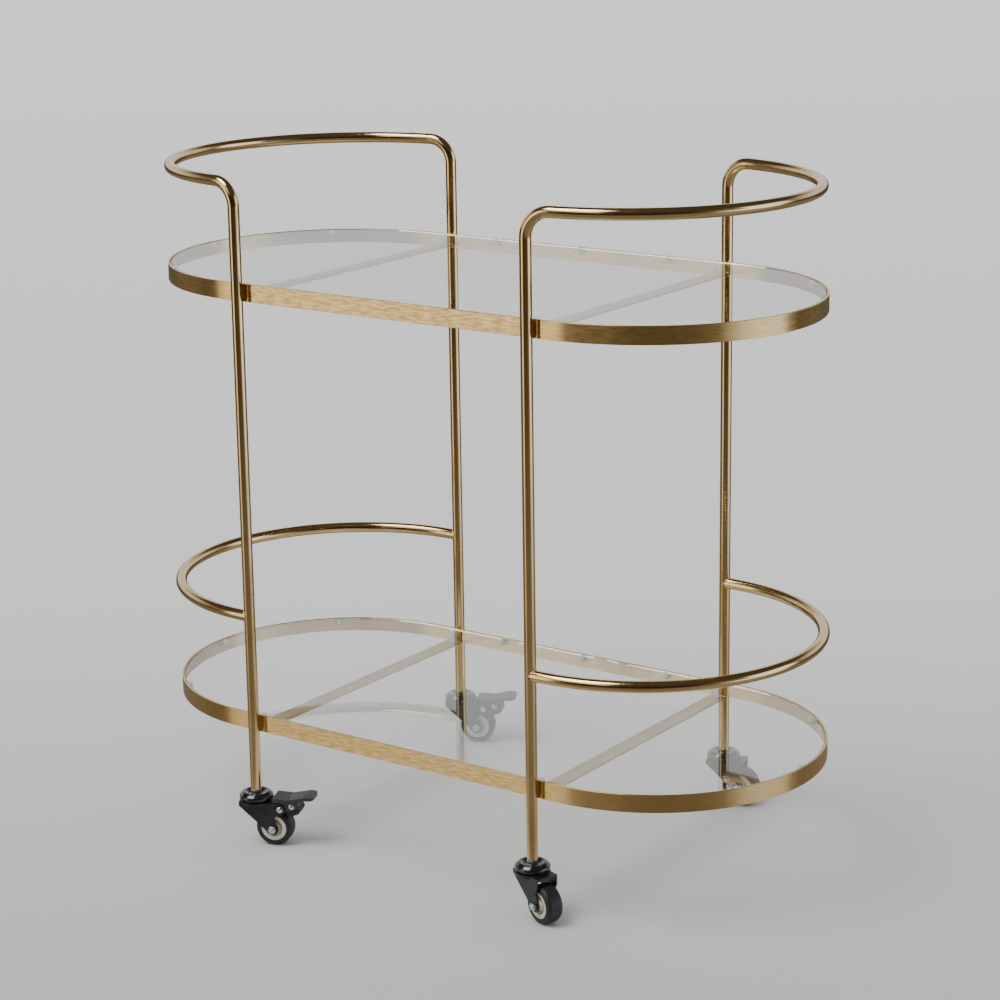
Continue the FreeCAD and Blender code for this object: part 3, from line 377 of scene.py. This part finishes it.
brass_tube = finish("satin_brass_tube", BRASS_LIGHT, 0.13, metallic=1.0)
tint(brass_tube, grain(brass_tube, 14, detail=6), ((0.35, BRASS_DARK), (0.65, BRASS_LIGHT)))
sheen_range(brass_tube, grain(brass_tube, 260, stretch=(1, 1, 0.05)), 0.10, 0.16)
relief(brass_tube, grain(brass_tube, 60, stretch=(1, 1, 0.2), detail=2), 0.00002, 0.25)
dress(["left_end_frame", "right_end_frame"], brass_tube)


# ---------------------------------------------------------------------------
# Guard rails. The same tube rolled to a half circle, coped to both legs of an end frame and
# brazed there, which leaves a thin dressed bead around the joint.
# ---------------------------------------------------------------------------

TUBE_RADIUS = 0.008
LEG_SIDE = 0.242
LEG_ACROSS = 0.252
GUARD_HEIGHT = 0.342
BEAD_RADIUS = 0.0011
BEAD_STEPS = 96
BEAD_SIDES = 10
BEAD_WAVER = 0.1
WAVER_PER_STEP = 1.7
SADDLE_SOFTENING = 0.02

dress(["left_guard_rail", "right_guard_rail"], brass_tube)


def brazed_bead(name, side, across):
    """A bead along the saddle line where a rail of the legs' own size meets a leg."""
    centre = Vector((side * LEG_SIDE, across * LEG_ACROSS + MIDDLE_OF_LEGS, GUARD_HEIGHT))

    def saddle(step):
        turn = 2 * math.pi * step / BEAD_STEPS
        reach = TUBE_RADIUS * math.sqrt(math.sin(turn) ** 2 + SADDLE_SOFTENING)
        return Vector((side * reach, TUBE_RADIUS * math.cos(turn), TUBE_RADIUS * math.sin(turn)))

    form = bmesh.new()
    rings = []
    for step in range(BEAD_STEPS):
        middle = saddle(step)
        ahead = (saddle(step + 1) - saddle(step - 1)).normalized()
        outward = (middle - ahead * middle.dot(ahead)).normalized()
        beside = ahead.cross(outward)
        radius = BEAD_RADIUS * (1 + BEAD_WAVER * math.sin(step * WAVER_PER_STEP))
        turns = [2 * math.pi * corner / BEAD_SIDES for corner in range(BEAD_SIDES)]
        spokes = [outward * math.cos(turn) + beside * math.sin(turn) for turn in turns]
        rings.append([form.verts.new(centre + middle + radius * spoke) for spoke in spokes])
    for ring, following in zip(rings, rings[1:] + rings[:1]):
        for corner in range(BEAD_SIDES):
            beyond = (corner + 1) % BEAD_SIDES
            form.faces.new((ring[corner], following[corner], following[beyond], ring[beyond]))
    bmesh.ops.recalc_face_normals(form, faces=form.faces)
    for face in form.faces:
        face.smooth = True
    mesh = bpy.data.meshes.new(name)
    form.to_mesh(mesh)
    form.free()
    mesh.materials.append(brass_tube)
    bead = bpy.data.objects.new(name, mesh)
    bpy.context.scene.collection.objects.link(bead)
    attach(bead, "trolley")


for end, side in (("left", -1), ("right", 1)):
    for row, across in (("front", -1), ("rear", 1)):
        brazed_bead(f"{row}_{end}_rail_bead", side, across)


# ---------------------------------------------------------------------------
# Rims. Flat brass bar rolled to a racetrack on edge and brushed along its length. The straight
# runs show cloudy patches of uneven lacquer, more on the upper rim; the light patches are painted
# whiter as a painted reflection of the lamps.
# ---------------------------------------------------------------------------

# The band's patch tones: darker brass, middle brass, and a whiter light brass that is painted reflection on
# uneven lacquer
BAND_DARK = (0.52, 0.335, 0.125)
BAND_MIDDLE = (0.73, 0.50, 0.21)
BAND_LIGHT_AND_PAINTED_SHEEN = (0.90, 0.68, 0.355)
GRAIN_MIDDLE = 0.5
# How strong the clouding and its painted reflection are, by metres from the middle along the trolley and by
# metres of height
RUN_CLOUDING_AND_SHEEN = ((0.20, 0.9), (0.27, 0.25))
RIM_CLOUDING_AND_SHEEN = ((0.4, 0.45), (0.6, 1.0))

brass_band = finish("brushed_brass_band", BRASS_LIGHT, 0.3, metallic=1.0, Anisotropic=1.0,
                    Anisotropic_Rotation=0.25)
band_tree = brass_band.node_tree
around_band = band_tree.nodes.new("ShaderNodeTangent")
around_band.direction_type = "RADIAL"
around_band.axis = "Z"
link(band_tree, around_band.outputs[0], band_tree.nodes["Principled BSDF"].inputs["Tangent"])
band_patch_noise = grain(brass_band, 1, stretch=(60, 60, 330), detail=9)
band_place = band_tree.nodes.new("ShaderNodeTexCoord").outputs["Object"]
band_length = math_node(band_tree, "ABSOLUTE", along(band_tree, band_place, Vector((1, 0, 0))))
band_height = along(band_tree, band_place, Vector((0, 0, 1)))
# Uneven lacquer clouding on the straight runs, its light patches a painted reflection
clouding_and_sheen_strength = math_node(band_tree, "MULTIPLY", ramp(band_tree, band_length, RUN_CLOUDING_AND_SHEEN),
                    ramp(band_tree, band_height, RIM_CLOUDING_AND_SHEEN))
even = math_node(band_tree, "SUBTRACT", band_patch_noise, GRAIN_MIDDLE)
band_clouding_and_painted_sheen = math_node(band_tree, "MULTIPLY_ADD", even, clouding_and_sheen_strength, GRAIN_MIDDLE)
tint(brass_band, band_clouding_and_painted_sheen, ((0.38, BAND_DARK), (0.50, BAND_MIDDLE), (0.62, BAND_LIGHT_AND_PAINTED_SHEEN)))
sheen_range(brass_band, band_clouding_and_painted_sheen, 0.15, 0.27)
relief(brass_band, grain(brass_band, 1, stretch=(7, 7, 2200), detail=6), 0.00002, 0.5)
dress(["upper_rim", "lower_rim"], brass_band)


# ---------------------------------------------------------------------------
# Glass shelves. 5 mm float glass cut to the rim, with a ground arris; it reflects strongly at
# this low angle and is nearly colourless.
# ---------------------------------------------------------------------------

CLEAR_GLASS = (0.97, 0.98, 0.975, 1)
LATE_RAY = 2.5
ANY_RAY = 0.5


def shelf_glass():
    """Clear glass that lets shadows, scattered light and rays mirrored by the metal pass straight."""
    glass = finish("shelf_glass", (0.97, 0.985, 0.98), 0.0, IOR=1.5, Transmission_Weight=1.0)
    sheen_range(glass, grain(glass, 30, detail=3), 0.0, 0.012)
    tree = glass.node_tree
    shader = tree.nodes["Principled BSDF"]
    output = tree.nodes["Material Output"]
    rays = tree.nodes.new("ShaderNodeLightPath").outputs
    clear = tree.nodes.new("ShaderNodeBsdfTransparent")
    clear.inputs[0].default_value = CLEAR_GLASS
    mix = tree.nodes.new("ShaderNodeMixShader")
    soft = math_node(tree, "MAXIMUM", rays["Is Shadow Ray"], rays["Is Diffuse Ray"])
    late = math_node(tree, "GREATER_THAN", rays["Ray Depth"], LATE_RAY)
    not_through_glass = math_node(tree, "LESS_THAN", rays["Transmission Depth"], ANY_RAY)
    mirrored = math_node(tree, "GREATER_THAN", rays["Glossy Depth"], ANY_RAY)
    off_metal = math_node(tree, "MULTIPLY", mirrored, not_through_glass)
    straight = math_node(tree, "MAXIMUM", soft, math_node(tree, "MAXIMUM", late, off_metal))
    link(tree, straight, mix.inputs[0])
    link(tree, shader.outputs[0], mix.inputs[1])
    link(tree, clear.outputs[0], mix.inputs[2])
    link(tree, mix.outputs[0], output.inputs["Surface"])
    return glass


dress(["upper_glass", "lower_glass"], shelf_glass())


# ---------------------------------------------------------------------------
# Under the glass. Flat-bar crossbars and small tabs in the rims' brass, and soft clear bumpers
# that keep the glass off the metal.
# ---------------------------------------------------------------------------

brass_bar = finish("satin_brass_bar", BRASS_DARK, 0.32, metallic=1.0)
tint(brass_bar, grain(brass_bar, 22, detail=6), ((0.35, (0.58, 0.41, 0.2)), (0.65, (0.70, 0.52, 0.28))))
sheen_range(brass_bar, grain(brass_bar, 1, stretch=(900, 12, 900), detail=4), 0.26, 0.42)
relief(brass_bar, grain(brass_bar, 1, stretch=(1500, 10, 1500), detail=4), 0.00003, 0.5)
dress([f"{tier}_{side}_crossbar" for tier in ("upper", "lower") for side in ("left", "right")],
      brass_bar, edge=0.0005)
dress(["rest_tabs"], brass_bar, edge=0.0003)
dress(["saddle_spacers"], brass_bar)

clear_pad = finish("clear_pad", (0.86, 0.88, 0.87), 0.35, Transmission_Weight=0.55, IOR=1.45)
sheen_range(clear_pad, grain(clear_pad, 500, detail=3), 0.28, 0.45)
relief(clear_pad, grain(clear_pad, 900, detail=2), 0.00005, 0.3)
dress(["glass_pads"], clear_pad, edge=0.0003)


# ---------------------------------------------------------------------------
# Zinc hardware. Screws, inserts, plugs, stems, nuts, axles and rivets, bright zinc plated steel
# with its faint blue cast and uneven sheen.
# ---------------------------------------------------------------------------

CORNERS = ("front_left", "rear_left", "front_right", "rear_right")
BRAKED = ("front_left", "rear_left")

zinc = finish("bright_zinc", (0.62, 0.65, 0.70), 0.28, metallic=1.0)
tint(zinc, grain(zinc, 220, detail=5), ((0.35, (0.50, 0.53, 0.57)), (0.65, (0.72, 0.75, 0.80))))
sheen_range(zinc, grain(zinc, 700, detail=4), 0.2, 0.38)
relief(zinc, grain(zinc, 1500, detail=3), 0.00002, 0.5)
dress(["frame_screws", "threaded_inserts", "tube_plugs", "caster_stems"], zinc)
dress(["stem_nuts", "kingpin_nuts"], zinc, edge=0.0005)
for corner in CORNERS:
    dress([f"{corner}_axle_bolt", f"{corner}_axle_nut"], zinc, edge=0.0004)
for corner in BRAKED:
    dress([f"{corner}_brake_pivot", f"{corner}_shoe_rivet"], zinc)

ball_steel = finish("ground_steel", (0.55, 0.55, 0.56), 0.15, metallic=1.0)
sheen_range(ball_steel, grain(ball_steel, 900, detail=3), 0.1, 0.25)
relief(ball_steel, grain(ball_steel, 2500, detail=2), 0.00001, 0.4)
for corner in CORNERS:
    dress([f"{corner}_ball_ring", f"{corner}_wheel_bush"], ball_steel)


# ---------------------------------------------------------------------------
# Caster caps and forks. Pressed steel: the raceway caps are gloss black over a domed pressing,
# the forks a flatter black with a slight orange peel.
# ---------------------------------------------------------------------------

gloss_black = finish("gloss_black_paint", (0.008, 0.008, 0.009), 0.12, Coat_Weight=0.6,
                     Coat_Roughness=0.08)
tint(gloss_black, grain(gloss_black, 300, detail=3),
     ((0.3, (0.006, 0.006, 0.007)), (0.7, (0.011, 0.011, 0.012))))
sheen_range(gloss_black, grain(gloss_black, 200, detail=4), 0.08, 0.2)
relief(gloss_black, grain(gloss_black, 900, detail=2), 0.00003, 0.3)
dress(["raceway_caps"], gloss_black, edge=0.0006, angle=25)

matt_black = finish("matt_black_paint", (0.009, 0.009, 0.0095), 0.4)
tint(matt_black, grain(matt_black, 250, detail=5),
     ((0.3, (0.006, 0.006, 0.0065)), (0.7, (0.013, 0.013, 0.0135))))
sheen_range(matt_black, grain(matt_black, 180, detail=4), 0.3, 0.46)
relief(matt_black, grain(matt_black, 1100, detail=3), 0.00005, 0.5)
for corner in CORNERS:
    dress([f"{corner}_fork"], matt_black, edge=0.0005)


# ---------------------------------------------------------------------------
# Wheels. A moulded cream core with a raised ring around a sunk hub, and a black rubber tyre
# pressed on it.
# ---------------------------------------------------------------------------

cream = finish("cream_moulding", (0.62, 0.56, 0.47), 0.42, Subsurface_Weight=0.05)
tint(cream, grain(cream, 90, detail=5), ((0.3, (0.56, 0.50, 0.41)), (0.7, (0.68, 0.62, 0.53))))
sheen_range(cream, grain(cream, 300, detail=4), 0.34, 0.5)
relief(cream, grain(cream, 1300, detail=3), 0.00004, 0.4)
rubber = finish("black_rubber", (0.010, 0.010, 0.010), 0.5)
tint(rubber, grain(rubber, 260, detail=6), ((0.3, (0.007, 0.007, 0.007)), (0.7, (0.015, 0.015, 0.0145))))
sheen_range(rubber, grain(rubber, 400, detail=4), 0.42, 0.6)
relief(rubber, grain(rubber, 1600, detail=4), 0.00008, 0.6)
for corner in CORNERS:
    dress([f"{corner}_wheel_core"], cream, edge=0.0005)
    dress([f"{corner}_tyre"], rubber)


# ---------------------------------------------------------------------------
# Brakes. A pressed charcoal pedal with folded flanges, its toothed black shoe between them,
# and two zinc rivets.
# ---------------------------------------------------------------------------

charcoal = finish("charcoal_paint", (0.028, 0.028, 0.030), 0.42)
tint(charcoal, grain(charcoal, 240, detail=5),
     ((0.3, (0.020, 0.020, 0.0215)), (0.7, (0.038, 0.038, 0.0405))))
sheen_range(charcoal, grain(charcoal, 260, detail=4), 0.34, 0.5)
relief(charcoal, grain(charcoal, 1000, detail=3), 0.00005, 0.5)
for corner in BRAKED:
    dress([f"{corner}_brake_pedal"], charcoal, edge=0.0006)
    dress([f"{corner}_brake_shoe"], rubber, edge=0.0002)
